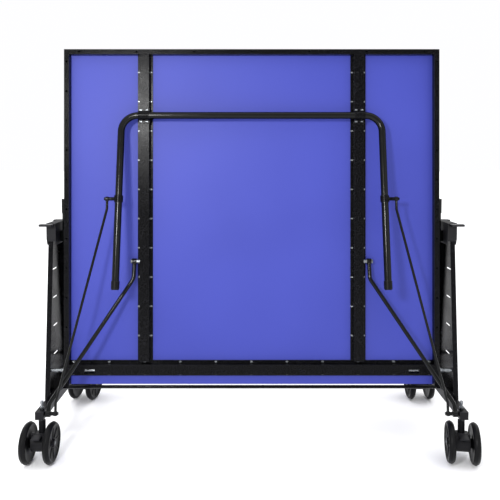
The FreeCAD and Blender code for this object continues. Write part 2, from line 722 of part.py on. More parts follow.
def make_link(name, top_off, end_off, long, radius, eye, thick, pin, top_run, end_run):
    """A bent bar that hangs from its top eye, with a straight run at each end. Sizes come by name."""
    start = 0.7 * size[eye]
    bottom = -size[long]
    points = [(size[top_off], 0, -start), (size[top_off], 0, -size[top_run]),
              (size[end_off], 0, bottom + size[end_run]), (size[end_off], 0, bottom + start)]
    bar = shaped(name + "Bar", along(tube_path(points, [4 * size[radius]] * 2), size[radius]))
    half = thick + " / 2"
    top_eye = bar_x(name + "TopEye", eye, "%s - %s" % (top_off, half), "%s + %s" % (top_off, half))
    end_eye = bar_x(name + "EndEye", eye, "%s - %s" % (end_off, half), "%s + %s" % (end_off, half),
                    "0", "-" + long)
    bore = bar_x(name + "TopBore", pin + " + runFit", "%s - %s" % (top_off, thick),
                 "%s + %s" % (top_off, thick))
    return bar, top_eye, end_eye, bore


def make_strut():
    *bars, bore = make_link("strut", "strutTopOff", "strutEndOff", "strutLong", "strutRadius", "strutEye",
                            "strutEyeThick", "strutPin", "strutTopRun", "strutEndRun")
    sleeve = bar_x("strutSleeve", "tieRadius", "rodEndOff + rodEyeThick / 2 + sideGap", "strutEndOff",
                   "0", "-strutLong")
    return pair("struts", cut("strut", fuse("strutBlank", *bars, sleeve), bore))


def make_rod():
    *bars, bore = make_link("rod", "rodTopOff", "rodEndOff", "rodLong", "rodRadius", "rodEye",
                            "rodEyeThick", "rodPin", "rodRun", "rodRun")
    nut = bar_x("rodEndNut", "rodPin + bossWall", "rodEndOff - rodEyeThick / 2 - nutThick", "rodEndOff",
                "0", "-rodLong")
    return pair("rods", cut("rod", fuse("rodBlank", *bars, nut), bore))


# ---------------------------------------------------------------- rolling frame
def make_base_rail():
    body = new_body("baseRail")
    section = new_sketch(body, "XZ_Plane", "baseRailSection")
    middle = "baseUp + baseTall / 2"
    oblong(section, "baseOff", middle, "baseWide", "baseTall")
    oblong(section, "baseOff", middle, "baseWide - 2 * baseWall", "baseTall - 2 * baseWall")
    pad(body, section, "2 * baseHalf", both_ways=True)
    holes = new_sketch(body, "XY_Plane", "baseRailStemHoles", "baseUp + baseTall + baseWall")
    for sign in ("-", ""):
        circle(holes, "baseOff", sign + "stemOff", "stemRadius + runFit")
    pocket(body, holes, "baseTall + 2 * baseWall")
    return body


def make_rail_plugs():
    """Plastic plugs pushed into the four rail ends."""
    half_wide, half_tall = "baseWide / 2", "baseTall / 2"
    lip = block("plugLipBlock", ("baseOff - " + half_wide, "baseOff + " + half_wide),
                ("-baseHalf - plugLip", "-baseHalf"), ("baseUp", "baseUp + baseTall"))
    root = block("plugRoot", ("baseOff - %s + baseWall" % half_wide, "baseOff + %s - baseWall" % half_wide),
                 ("-baseHalf", "-baseHalf + plugDeep"), ("baseUp + baseWall", "baseUp + baseTall - baseWall"))
    front = pair("frontPlugs", fuse("plug", lip, root))
    back = doc.addObject("Part::Compound", "backPlugs")
    back.Links = [front]
    back.Placement = HALF_TURN
    return [front, back]


def make_tie_bars():
    inner = "baseOff - baseWide / 2"
    front = bar_x("tieBar", "tieRadius", "-(%s)" % inner, inner, "-tieOff", "tieUp")
    back = bar_x("tieBarBack", "tieRadius", "-(%s)" % inner, inner, "tieOff", "tieUp")
    return [front, back]


def make_upright():
    """A tapered channel that opens towards the table, with slots across its web."""
    body = new_body("upright")
    face = new_sketch(body, "YZ_Plane", "uprightFace", "postOff - postDeep")
    outline(face, [("-postLow", "postFoot"), ("postLow", "postFoot"), ("postHigh", "postTop"),
                   ("-postHigh", "postTop")])
    pad(body, face, "postDeep")
    inside = new_sketch(body, "YZ_Plane", "uprightInside", "postOff - sheetThick")
    low, high = "(postLow - 1.01 * sheetThick)", "(postHigh - 1.01 * sheetThick)"
    outline(inside, [("-" + low, "postFoot"), (low, "postFoot"), (high, "postTop"), ("-" + high, "postTop")])
    pocket(body, inside, "postDeep")
    slots = new_sketch(body, "YZ_Plane", "uprightSlots", "postOff + 1")
    room = cap_low - size["slotClear"] - post_foot - size["slotFirst"]
    for up in row_of(int(room // size["slotPitch"]) + 1, "slotPitch", "postFoot + slotFirst"):
        oblong(slots, "0", up, "slotLong", "slotHigh")
    pocket(body, slots, "2 * sheetThick")
    return body


def make_upright_foot():
    """The spacer that bolts an upright to its rail."""
    return block("uprightFoot", ("baseOff + baseWide / 2", "postOff - sheetThick"),
                 ("-spacerHalf", "spacerHalf"), ("baseUp + spacerEase", "baseUp + baseTall - spacerEase / 2"))


def make_cap():
    """A plastic cover over an upright's top, open below."""
    body = new_body("cap")
    face = new_sketch(body, "YZ_Plane", "capFace", "capInner")
    shoulder = "capHalf - capShoulder"
    corner = "capLow + capChamfer"
    outline(face, [("-(%s)" % shoulder, "capLow"), (shoulder, "capLow"), ("capHalf", corner),
                   ("capHalf", "capTop"), ("-capHalf", "capTop"), ("-capHalf", corner)])
    pad(body, face, "postOff + capFront + capWall - capInner")
    hollow = new_sketch(body, "XY_Plane", "capHollow", "capLow - 1")
    inside_wide = "2 * capHalf - 2 * capWall"
    oblong(hollow, "(capInner + capWall + postOff + capFront) / 2", "0",
           "postOff + capFront - capInner - capWall", inside_wide)
    pocket(body, hollow, "postTop - capLow + 1 + capWall", backwards=True)
    return body


def make_base_pins():
    """Short bosses on the rails that face the strut ends."""
    rail = "baseOff - baseWide / 2"
    boss = bar_x("baseBoss", "tieRadius", "strutEndOff + strutEyeThick / 2 + sideGap", rail,
                 "-baseOut", "pinUp")
    front = pair("frontPins", boss)
    back = doc.addObject("Part::Compound", "backPins")
    back.Links = [front]
    back.Placement = HALF_TURN
    return [front, back]


def make_stems():
    """Threaded stems through the rails, with a nut under and over each rail."""
    low, top = size["neckTop"] - size["stemDeep"], size["stemTop"]
    rail_top = size["baseUp"] + size["baseTall"]
    stem = Part.makeCylinder(size["stemRadius"], top - low, Vec(0, 0, low))
    nut = hexagon(size["nutRadius"], size["nutHigh"])
    lower = nut.translated(Vec(0, 0, size["baseUp"] - size["nutHigh"]))
    upper = nut.translated(Vec(0, 0, rail_top))
    ball = size["crownRadius"]
    crown = Part.makeCylinder(ball, ball, Vec(0, 0, top - 2 * ball))
    crown = crown.fuse(Part.makeSphere(ball, Vec(0, 0, top - ball)))
    whole = stem.fuse([lower, upper, crown])
    spots = [(a * size["baseOff"], b * size["stemOff"]) for a in (-1, 1) for b in (-1, 1)]
    return shaped("stems", Part.makeCompound([whole.translated(Vec(x, y, 0)) for x, y in spots]))


def make_frame_bolts():
    """Hexagon heads on the feet of the uprights."""
    head = hexagon(size["boltRadius"], size["boltHigh"])
    head.rotate(Vec(), Y_AXIS, 90)
    up = size["baseUp"] + size["baseTall"] / 2
    heads = [head.translated(Vec(size["postOff"], way * size["boltOff"], up)) for way in (-1, 1)]
    right = shaped("rightBolts", Part.makeCompound(heads))
    return pair("frameBolts", right)


LEVER_AT = ("-(capHalf + leverOut)", "capTop - leverUnder")


def make_lever_pins():
    """Lugs on the caps that carry the release levers."""
    low = "postOff - leverWide / 2"
    far = low + " - sideGap - lugThick"
    out, up = LEVER_AT
    lug = block("lugInner", (far, low + " - sideGap"), (out + " - leverEye", "-capHalf"),
                (up + " - lugTall / 2", up + " + lugTall / 2"))
    pin = bar_x("leverPinBar", "leverPin", far, "postOff + leverWide / 2 - leverEnd - sideGap", out, up)
    lugs = pair("frontLugs", fuse("leverLug", lug, pin))
    back = doc.addObject("Part::Compound", "backLugs")
    back.Links = [lugs]
    back.Placement = HALF_TURN
    return [lugs, back]


def make_lever():
    """A flat release lever with a rolled hinge along its inner edge."""
    low, high = "postOff - leverWide / 2", "postOff + leverWide / 2"
    out, up = LEVER_AT
    blade = block("leverBlade", (low, high), (out + " - leverLong", out),
                  (up + " - leverThick / 2", up + " + leverThick / 2"))
    doc.recompute()
    tip = [i + 1 for i, e in enumerate(blade.Shape.Edges)
           if abs(e.tangentAt(e.FirstParameter).z) > 0.9 and e.CenterOfMass.y < worth(out) - size["leverEye"]]
    rounded = doc.addObject("Part::Fillet", "leverRounded")
    rounded.Base = blade
    rounded.Edges = [(i, size["leverRound"], size["leverRound"]) for i in tip]
    barrel = bar_x("leverBarrel", "leverEye", low, high, out, up)
    bore = bar_x("leverBore", "leverPin + runFit", low + " - 1", high + " - leverEnd", out, up)
    return cut("lever", fuse("leverBlank", rounded, barrel), bore)


# ---------------------------------------------------------------- net
def make_net_post():
    """A round post with a foot that clamps to the cap, and a knob on top."""
    top = "netTop + netPostPast"
    foot_low = "capLow + netFootUp"
    post = bar_z("netPostTube", "netPostRadius", "capLow + netFootUp / 2", top, "netPostOff")
    foot = block("netPostFoot", ("netPostOff - netPostRadius / 2", "capInner"),
                 ("-netFootHalf", "netFootHalf"), (foot_low, foot_low + " + netFootTall"))
    knob = bar_z("netKnob", "netPostRadius + knobLip", top, top + " + knobHigh", "netPostOff")
    return [fuse("netPost", post, foot), knob]


def make_net():
    """The net and the tape along its top, between the posts."""
    edge = "netPostOff - netPostRadius"
    mesh = block("netSheet", ("-(%s)" % edge, edge), ("-netThick / 2", "netThick / 2"),
                 ("netTop - netDrop", "netTop - tapeHigh"))
    tape = block("netTapeBlock", ("-(%s)" % edge, edge), ("-netThick", "netThick"),
                 ("netTop - tapeHigh", "netTop"))
    return mesh, tape


# ---------------------------------------------------------------- casters, about their own stem
PEDAL_AT = ("-trail - pedalBack", "wheelRadius + pedalUp")


def make_caster_body():
    """Neck and body between the wheels; the axle sits behind the stem, towards -Y."""
    half = "(wheelPitch / 2 - wheelThick / 2 - wheelSide)"
    back, up = PEDAL_AT
    drum = bar_x("casterDrum", "hubRadius", "-" + half, half, "-trail", "wheelRadius")
    web = block("casterBack", ("-%s + treadEdge" % half, half + " - treadEdge"), ("-trail", "neckRadius"),
                ("wheelRadius - backLow", "wheelRadius + backHigh"))
    neck = bar_z("casterNeck", "neckRadius", "wheelRadius", "neckTop")
    lug = block("casterLugRight", ("pedalHalf + 2 * sideGap", half),
                ("%s - pedalLugHalf" % back, "%s + pedalLugHalf" % back),
                ("wheelRadius", up + " + pedalEye"))
    pin = bar_x("pedalPin", "leverPin", "-pedalHalf - 4 * sideGap", "pedalHalf + 4 * sideGap", back, up)
    stem = bar_z("casterStemBore", "stemRadius + runFit", "neckTop - stemDeep - sideGap", "neckTop + 1")
    axle = bar_x("casterAxleBore", "wheelAxle + runFit", "-wheelPitch", "wheelPitch", "-trail", "wheelRadius")
    blank = fuse("casterBlank", drum, web, neck, lug, mirrored("casterLugLeft", lug), pin)
    return cut("casterBody", blank, stem, axle)


def make_wheel_set():
    """Two dished wheels with crowned treads, pressed on one axle."""
    r, t, bore, boss = size["wheelRadius"], size["wheelThick"], size["wheelAxle"], size["bossRadius"]
    inset, ridge_radius = size["treadEdge"], size["treadEdge"]
    shoulder, rim = r - size["treadFall"], r - size["rimDeep"]
    outer, inner = t - size["dishDeep"], size["dishIn"]
    top = Vec(t / 2, r - inset / 3, 0)
    crown = Part.Arc(Vec(inset, shoulder, 0), top, Vec(t - inset, shoulder, 0)).toShape()
    right = [Vec(t - inset, shoulder, 0), Vec(t - inset, rim, 0), Vec(outer + 1, rim - inset * 2, 0),
             Vec(outer, size["dishRadius"], 0), Vec(t - inset, boss + 2, 0), Vec(t, boss, 0), Vec(t, bore, 0)]
    left = [Vec(0, bore, 0), Vec(0, boss, 0), Vec(inner, boss + 4, 0), Vec(inner, rim - 4, 0),
            Vec(inset, rim, 0), Vec(inset, shoulder, 0)]
    profile = Part.Wire([crown] + Part.makePolygon(right).Edges
                        + [Part.LineSegment(right[-1], left[0]).toShape()] + Part.makePolygon(left).Edges)
    wheel = Part.Face(profile).revolve(Vec(), X_AXIS, 360)
    ridge = Part.makeTorus(r - ridge_radius, ridge_radius, Vec(t / 2, 0, 0), X_AXIS)
    wheel = wheel.fuse(ridge)
    wheel.translate(Vec((size["wheelPitch"] - t) / 2, -size["trail"], r))
    other = wheel.mirror(Vec(), X_AXIS)
    reach = (size["wheelPitch"] + t) / 2 - size["axleShort"]
    axle = Part.makeCylinder(bore, 2 * reach, Vec(-reach, -size["trail"], r), X_AXIS)
    return shaped("wheelSet", Part.makeCompound([wheel, other, axle]))


def make_pedal():
    """Brake pedal hinged on the caster body."""
    back, up = PEDAL_AT
    barrel = bar_x("pedalBarrel", "pedalEye", "-pedalHalf", "pedalHalf", back, up)
    blade = block("pedalBlade", ("-pedalHalf", "pedalHalf"), (back + " - pedalLong", back),
                  (up + " - pedalThick / 2", up + " + pedalThick / 2"))
    bore = bar_x("pedalBore", "leverPin + runFit", "-2 * pedalHalf", "2 * pedalHalf", back, up)
    return cut("pedal", fuse("pedalBlank", barrel, blade), bore)


# ---------------------------------------------------------------- everything in its place
HALF_TURN = FreeCAD.Placement(Vec(), FreeCAD.Rotation(Z_AXIS, 180))
SIDES = {"front": FreeCAD.Placement(), "rear": HALF_TURN}


def standing(out, up, degrees):
    """A frame at an outward distance and height on the front half, turned about X."""
    return FreeCAD.Placement(Vec(0, -out, up), FreeCAD.Rotation(X_AXIS, degrees))


def aim(top, bottom):
    """Turn about X that points -Z from one linkage point to another."""
    return -math.degrees(math.atan2(bottom[0] - top[0], top[1] - bottom[1]))


half_pieces = {
    "table_top": make_board(),
    "edge_rails": [pair("sideRails", make_side_rail()), make_end_rail()],
    "leg_beams": pair("legBeams", make_leg_beam()),
    "cross_beam": make_cross_beam(),
    "leg_clamps": make_leg_clamps(),
    "panel_screws": make_panel_screws(),
    "strut_brackets": make_strut_brackets(),
    "guide_axle": make_guide_axle(),
    "guide_rollers": make_guide_rollers(),
}
leg_pieces = {"u_leg": make_leg(), "leg_feet": make_leg_feet(), "rod_brackets": make_rod_brackets()}
strut, rod = make_strut(), make_rod()

for side, turn in SIDES.items():
    leaning = turn.multiply(standing(size["storeOut"], store_up, -size["storeLean"]))
    for label, piece in half_pieces.items():
        node("%s_%s" % (label, side), piece, leaning)
    hanging = turn.multiply(standing(leg_folded[0], leg_folded[1], -size["legTilt"]))
    for label, piece in leg_pieces.items():
        node("%s_%s" % (label, side), piece, hanging)
    node("struts_" + side, strut, turn.multiply(standing(*strut_folded, aim(strut_folded, base_pin))))
    node("leg_rods_" + side, rod, turn.multiply(standing(*rod_folded, aim(rod_folded, base_pin))))

mesh, tape = make_net()
right_pieces = {"base_rail": make_base_rail(), "upright": make_upright(), "upright_cap": make_cap(),
                "net_post": make_net_post()}
for label, piece in right_pieces.items():
    node(label + "_right", piece)
    node(label + "_left", piece, HALF_TURN)
node("rail_fittings", [pair("uprightFeet", make_upright_foot())] + make_base_pins())
node("rail_plugs", make_rail_plugs())
node("tie_bars", make_tie_bars())
node("caster_stems", make_stems())
node("frame_bolts", make_frame_bolts())
node("lever_lugs", make_lever_pins())
node("net_mesh", mesh)
node("net_tape", tape)

lever = make_lever()
lever_left = mirrored("leverLeft", lever)
node("release_lever_front_right", lever)
node("release_lever_front_left", lever_left)
node("release_lever_rear_left", lever, HALF_TURN)
node("release_lever_rear_right", lever_left, HALF_TURN)

# Each caster is swung on its stem by this angle from pointing straight out.
CASTER_TURNS = {"front_right": (1, -1, -10), "front_left": (-1, -1, 0),
                "rear_left": (-1, 1, 170), "rear_right": (1, 1, 180)}
caster_pieces = {"caster_body": make_caster_body(), "caster_wheels": make_wheel_set(),
                 "brake_pedal": make_pedal()}
for corner, (x, y, angle) in CASTER_TURNS.items():
    stem_at = Vec(x * size["baseOff"], y * size["stemOff"], 0)
    place = FreeCAD.Placement(stem_at, FreeCAD.Rotation(Z_AXIS, angle))
    for label, piece in caster_pieces.items():
        node("%s_%s" % (label, corner), piece, place)

doc.recompute()

faults = [thing.Name for thing in doc.Objects if {"Invalid", "Error"} & set(thing.State)]
if faults:
    raise RuntimeError("failed objects: " + ", ".join(faults))
os.makedirs("parts", exist_ok=True)
for piece in nodes:
    shape = piece.Shape
    if shape.isNull() or not shape.isValid() or not shape.Solids:
        raise RuntimeError("bad shape in " + piece.Label)
    shape.exportStep(os.path.join("parts", piece.Label + ".step"))
print("%d sub-parts; base pin out %.1f, strut %.1f, rod %.1f, leg %.1f, foot in by %.2f degrees"
      % (len(nodes), base_pin[0], strut_long, rod_long, leg_long, math.degrees(leg_in)))
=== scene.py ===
import json
import math

import bpy
import numpy as np
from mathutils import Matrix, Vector


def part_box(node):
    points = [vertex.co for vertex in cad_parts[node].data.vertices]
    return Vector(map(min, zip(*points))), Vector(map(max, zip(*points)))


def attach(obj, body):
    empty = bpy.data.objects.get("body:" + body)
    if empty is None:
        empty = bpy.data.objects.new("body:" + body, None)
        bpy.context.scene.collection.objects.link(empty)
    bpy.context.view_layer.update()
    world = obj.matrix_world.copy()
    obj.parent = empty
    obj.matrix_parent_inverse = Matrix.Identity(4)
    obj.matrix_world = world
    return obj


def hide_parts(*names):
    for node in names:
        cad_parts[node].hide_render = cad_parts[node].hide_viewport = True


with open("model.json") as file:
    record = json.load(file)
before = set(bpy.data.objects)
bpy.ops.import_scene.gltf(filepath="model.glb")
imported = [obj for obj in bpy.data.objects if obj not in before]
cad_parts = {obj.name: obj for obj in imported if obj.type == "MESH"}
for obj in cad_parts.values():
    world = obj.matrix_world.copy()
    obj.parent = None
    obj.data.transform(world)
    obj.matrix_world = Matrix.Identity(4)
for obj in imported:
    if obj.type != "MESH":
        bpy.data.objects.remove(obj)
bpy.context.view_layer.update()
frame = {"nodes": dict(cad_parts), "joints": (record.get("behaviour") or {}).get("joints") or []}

nodes = frame["nodes"]
joints = {j["name"]: j for j in frame["joints"]}
mm = 0.001
turn = 2 * math.pi
print("frame loaded:", len(nodes), "nodes")


# surfaces worked out as arrays

def meshPiece(name, points, faces, material, smooth=True):
    mesh = bpy.data.meshes.new(name)
    mesh.from_pydata(points.tolist(), [], [list(f) for f in faces])
    mesh.polygons.foreach_set("use_smooth", np.full(len(mesh.polygons), smooth))
    mesh.update()
    piece = bpy.data.objects.new(name, mesh)
    bpy.context.scene.collection.objects.link(piece)
    mesh.materials.append(material)
    return piece


def gridFaces(rows, columns, closed):
    # quads between neighbouring rows and columns of a grid; a closed grid joins its last column to its first
    across = columns if closed else columns - 1
    i, j = np.meshgrid(np.arange(rows - 1), np.arange(across), indexing="ij")
    i, j = i.ravel(), j.ravel()
    right = (j + 1) % columns
    lower, upper = i * columns, (i + 1) * columns
    return np.stack([lower + j, lower + right, upper + right, upper + j], 1)


def revolved(profile, sides):
    # point = (distance along the axle, radius cos(angle), radius sin(angle)) for each profile point and angle
    profile = np.asarray(profile, float)
    angle = np.arange(sides) * turn / sides
    along = np.repeat(profile[:, :1], sides, 1)
    points = np.stack([along, profile[:, 1:] * np.cos(angle), profile[:, 1:] * np.sin(angle)], 2)
    return points.reshape(-1, 3), gridFaces(len(profile), sides, True)


def capped(points, faces, sides):
    # closes both ends of a revolved surface with one flat face each
    start = list(range(sides))[::-1]
    last = list(range(len(points) - sides, len(points)))
    return points, [list(f) for f in faces] + [start, last]


def merged(parts):
    points, faces, first = [], [], 0
    for somePoints, someFaces in parts:
        points.append(somePoints)
        faces += [[k + first for k in f] for f in someFaces]
        first += len(somePoints)
    return np.concatenate(points), faces


def framed(points, origin, along, up):
    # puts points given on (along, side, up) axes at an origin
    along = np.asarray(along, float) / np.linalg.norm(along)
    up = np.asarray(up, float) - along * np.dot(along, up)
    up /= np.linalg.norm(up)
    return np.asarray(origin) + points @ np.stack([along, np.cross(up, along), up])


def islands(node, reach):
    # the middle of each separate head in a CAD node: points nearer than the reach belong together
    points = np.array([v.co for v in nodes[node].data.vertices])
    middles = []
    while len(points):
        near = np.linalg.norm(points - points[0], axis=1) < reach
        middles.append((points[near].min(0) + points[near].max(0)) / 2)
        points = points[~near]
    return np.array(middles)


# materials

def colour(hexText):
    # sRGB hex to linear
    s = np.array([int(hexText[i:i + 2], 16) for i in (1, 3, 5)]) / 255
    return tuple(np.where(s <= 0.04045, s / 12.92, ((s + 0.055) / 1.055) ** 2.4)) + (1,)


def fillInputs(tree, node, inputs):
    # a socket is linked and anything else is set
    for key, value in inputs.items():
        if isinstance(value, bpy.types.NodeSocket):
            tree.links.new(value, node.inputs[key])
        else:
            node.inputs[key].default_value = value


def addNode(tree, kind, inputs, output=0, **settings):
    made = tree.nodes.new(kind)
    for key, value in settings.items():
        setattr(made, key, value)
    fillInputs(tree, made, inputs)
    return made.outputs[output]


def newMaterial(name):
    material = bpy.data.materials.new(name)
    material.use_nodes = True
    tree = material.node_tree
    return material, tree, tree.nodes["Principled BSDF"]


def edgeShare(tree, radius):
    # 0 on flat faces and 1 along sharp edges, from how far a rounded normal leaves the true one
    starts, full = 0.02, 0.3
    rounded = addNode(tree, "ShaderNodeBevel", {"Radius": radius * mm}, samples=6)
    true = addNode(tree, "ShaderNodeNewGeometry", {}, "Normal")
    match = addNode(tree, "ShaderNodeVectorMath", {0: rounded, 1: true}, "Value", operation="DOT_PRODUCT")
    share = addNode(tree, "ShaderNodeMapRange", {
        "Value": match, "From Min": 1 - starts, "From Max": 1 - full, "To Min": 0, "To Max": 1}, "Result")
    return share, rounded


def texturedPowderCoat(name, settings):
    # polyester powder baked on steel. The sand breaks highlights up into a sparkle: real grains are a few
    # tenths of a millimetre and are drawn coarser so that they show. The cloud varies the gloss along a rail,
    # and paler edges keep black profiles readable against each other. They are a painted highlight where
    # edges catch the light, and partly wear
    material, tree, shader = newMaterial(name)
    place = addNode(tree, "ShaderNodeTexCoord", {}, "Object")
    sand = addNode(tree, "ShaderNodeTexNoise", {
        "Vector": place, "Scale": 1 / (settings["grain"] * mm), "Detail": 3.0, "Roughness": 0.6}, "Fac")
    cloud = addNode(tree, "ShaderNodeTexNoise", {
        "Vector": place, "Scale": 1 / (settings["cloud"] * mm), "Detail": 2.0, "Roughness": 0.5}, "Fac")
    speck = addNode(tree, "ShaderNodeMapRange", {
        "Value": sand, "From Min": 0.5, "From Max": 0.7, "To Min": 0, "To Max": 1}, "Result")
    edge, rounded = edgeShare(tree, settings["edge"])
    skin = addNode(tree, "ShaderNodeMix", {
        "Factor": speck, 6: colour(settings["dark"]), 7: colour(settings["light"])}, 2, data_type="RGBA")
    # painted edge highlight, partly wear: the skin is mixed towards a paler colour along sharp edges
    edgeWearAndHighlight = addNode(tree, "ShaderNodeMix", {
        "Factor": edge, 6: skin, 7: colour(settings["edgeWearAndHighlight"])}, 2, data_type="RGBA")
    smoothest, dullest = settings["rough"]
    rough = addNode(tree, "ShaderNodeMapRange", {
        "Value": cloud, "From Min": 0.3, "From Max": 0.7, "To Min": smoothest, "To Max": dullest}, "Result")
    bump = addNode(tree, "ShaderNodeBump", {
        "Strength": settings["bump"], "Distance": 0.3 * mm, "Height": sand, "Normal": rounded})
    fillInputs(tree, shader, {"Base Color": edgeWearAndHighlight, "Roughness": rough, "Normal": bump,
                              "Specular IOR Level": settings["gloss"]})
    return material


def boardPaint(name, side):
    # roller-coated acrylic on chipboard. The cloud keeps a large face from looking flat, and the stipple,
    # drawn coarser than the real skin so that it shows, softens reflections. White lines lie on the playing
    # face only: they fade in between the two depths in play, measured from the outer face
    settings = {"blue": "#303996", "deep": "#2B348F", "line": "#E8E9EC", "stipple": 1.6, "cloud": 420,
                "edgeLine": 20, "middleLine": 3, "lean": 2.5, "soft": 0.2, "play": (20, 21), "bump": 0.12,
                "rough": (0.5, 0.6), "gloss": 0.38}
    material, tree, shader = newMaterial(name)
    low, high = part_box("table_top_" + side)
    front = side == "front"
    lean = math.radians(settings["lean"])
    objectPlace = addNode(tree, "ShaderNodeTexCoord", {}, "Object")
    place = addNode(tree, "ShaderNodeMapping", {
        "Vector": objectPlace, "Location": (0, low.y if front else high.y, low.z),
        "Rotation": (-lean, 0, 0 if front else math.pi)}, vector_type="TEXTURE")
    axes = addNode(tree, "ShaderNodeSeparateXYZ", {"Vector": place}).node.outputs
    stipple = addNode(tree, "ShaderNodeTexNoise", {
        "Vector": place, "Scale": 1 / (settings["stipple"] * mm), "Detail": 2.0, "Roughness": 0.6}, "Fac")
    cloud = addNode(tree, "ShaderNodeTexNoise", {
        "Vector": place, "Scale": 1 / (settings["cloud"] * mm), "Detail": 1.0, "Roughness": 0.5}, "Fac")
    cloudShare = addNode(tree, "ShaderNodeMapRange", {
        "Value": cloud, "From Min": 0.3, "From Max": 0.7, "To Min": 0, "To Max": 1}, "Result")
    blue = addNode(tree, "ShaderNodeMix", {
        "Factor": cloudShare, 6: colour(settings["deep"]), 7: colour(settings["blue"])}, 2, data_type="RGBA")
    across = addNode(tree, "ShaderNodeMath", {0: axes["X"]}, operation="ABSOLUTE")
    sideLine = (high.x - low.x) / 2 - settings["edgeLine"] * mm
    endLine = (high.z - low.z) / math.cos(lean) - settings["edgeLine"] * mm
    middleLine = settings["middleLine"] * mm / 2
    masks = [addNode(tree, "ShaderNodeMapRange", {
        "Value": value, "From Min": start, "From Max": start + settings["soft"] * mm,
        "To Min": first, "To Max": 1 - first}, "Result")
        for value, start, first in ((across, sideLine, 0), (axes["Z"], endLine, 0), (across, middleLine, 1))]
    lines = masks[0]
    for mask in masks[1:]:
        lines = addNode(tree, "ShaderNodeMath", {0: lines, 1: mask}, operation="MAXIMUM")
    shallow, deep = settings["play"]
    onPlay = addNode(tree, "ShaderNodeMapRange", {
        "Value": axes["Y"], "From Min": shallow * mm, "From Max": deep * mm,
        "To Min": 0, "To Max": 1}, "Result")
    lines = addNode(tree, "ShaderNodeMath", {0: lines, 1: onPlay}, operation="MULTIPLY")
    painted = addNode(tree, "ShaderNodeMix", {
        "Factor": lines, 6: blue, 7: colour(settings["line"])}, 2, data_type="RGBA")
    smoothest, dullest = settings["rough"]
    rough = addNode(tree, "ShaderNodeMapRange", {
        "Value": stipple, "From Min": 0.3, "From Max": 0.7, "To Min": smoothest, "To Max": dullest}, "Result")
    bump = addNode(tree, "ShaderNodeBump", {
        "Strength": settings["bump"], "Distance": 0.2 * mm, "Height": stipple})
    fillInputs(tree, shader, {"Base Color": painted, "Roughness": rough, "Normal": bump,
                              "Specular IOR Level": settings["gloss"]})
    return material


def zincPlate(name):
    # electroplated steel dulled by handling: the cloud gives its small heads and nuts uneven grey glints
    settings = {"cloud": 6, "dark": "#5E6265", "light": "#8E9194", "rough": (0.22, 0.4)}
    material, tree, shader = newMaterial(name)
    place = addNode(tree, "ShaderNodeTexCoord", {}, "Object")
    cloud = addNode(tree, "ShaderNodeTexNoise", {
        "Vector": place, "Scale": 1 / (settings["cloud"] * mm), "Detail": 3.0, "Roughness": 0.5}, "Fac")
    share = addNode(tree, "ShaderNodeMapRange", {
        "Value": cloud, "From Min": 0.3, "From Max": 0.7, "To Min": 0, "To Max": 1}, "Result")
    plating = addNode(tree, "ShaderNodeMix", {
        "Factor": share, 6: colour(settings["dark"]), 7: colour(settings["light"])}, 2, data_type="RGBA")
    smoothest, dullest = settings["rough"]
    rough = addNode(tree, "ShaderNodeMapRange", {
        "Value": cloud, "From Min": 0.3, "From Max": 0.7, "To Min": smoothest, "To Max": dullest}, "Result")
    fillInputs(tree, shader, {"Metallic": 1, "Base Color": plating, "Roughness": rough})
    return material


def mouldedPlastic(name, settings):
    # injection moulded. The grain left by the tool, drawn coarser than real so that it shows, dulls the
    # faces, and paler edges draw the outline of small black parts. They are a painted highlight where edges
    # catch the light, and partly wear
    material, tree, shader = newMaterial(name)
    place = addNode(tree, "ShaderNodeTexCoord", {}, "Object")
    grain = addNode(tree, "ShaderNodeTexNoise", {
        "Vector": place, "Scale": 1 / (settings["grain"] * mm), "Detail": 4.0, "Roughness": 0.65}, "Fac")
    edge, rounded = edgeShare(tree, settings["edge"])
    share = addNode(tree, "ShaderNodeMapRange", {
        "Value": grain, "From Min": 0.35, "From Max": 0.65, "To Min": 0, "To Max": 1}, "Result")
    body = addNode(tree, "ShaderNodeMix", {
        "Factor": share, 6: colour(settings["dark"]), 7: colour(settings["light"])}, 2, data_type="RGBA")
    # painted edge highlight, partly wear: the body is mixed towards a paler colour along sharp edges
    edgeWearAndHighlight = addNode(tree, "ShaderNodeMix", {
        "Factor": edge, 6: body, 7: colour(settings["edgeWearAndHighlight"])}, 2, data_type="RGBA")
    smoothest, dullest = settings["rough"]
    rough = addNode(tree, "ShaderNodeMapRange", {
        "Value": grain, "From Min": 0.3, "From Max": 0.7, "To Min": smoothest, "To Max": dullest}, "Result")
    bump = addNode(tree, "ShaderNodeBump", {
        "Strength": settings["bump"], "Distance": 0.2 * mm, "Height": grain, "Normal": rounded})
    fillInputs(tree, shader, {"Base Color": edgeWearAndHighlight, "Roughness": rough, "Normal": bump,
                              "Specular IOR Level": settings["gloss"]})
    return material


def plainWeave(name, light, dark, thread):
    # crossing threads that shade each other, with a little sheen, make tape and cord look soft beside the
    # steel. Real threads are finer and are drawn coarser so that they show. A band of the wave texture
    # repeats each turn / (20 * scale)
    material, tree, shader = newMaterial(name)
    place = addNode(tree, "ShaderNodeTexCoord", {}, "Object")
    waves = [addNode(tree, "ShaderNodeTexWave", {
        "Vector": place, "Scale": turn / (20 * thread * mm), "Distortion": 0.6, "Detail": 1.0}, "Fac",
        wave_type="BANDS", bands_direction=direction) for direction in ("X", "Z")]
    weave = addNode(tree, "ShaderNodeMath", {0: waves[0], 1: waves[1]}, operation="MULTIPLY")
    woven = addNode(tree, "ShaderNodeMix", {
        "Factor": weave, 6: colour(dark), 7: colour(light)}, 2, data_type="RGBA")
    bump = addNode(tree, "ShaderNodeBump", {"Strength": 0.5, "Distance": 0.3 * mm, "Height": weave})
    fillInputs(tree, shader, {"Base Color": woven, "Normal": bump, "Roughness": 0.85,
                              "Specular IOR Level": 0.2, "Sheen Weight": 0.3})
    return material
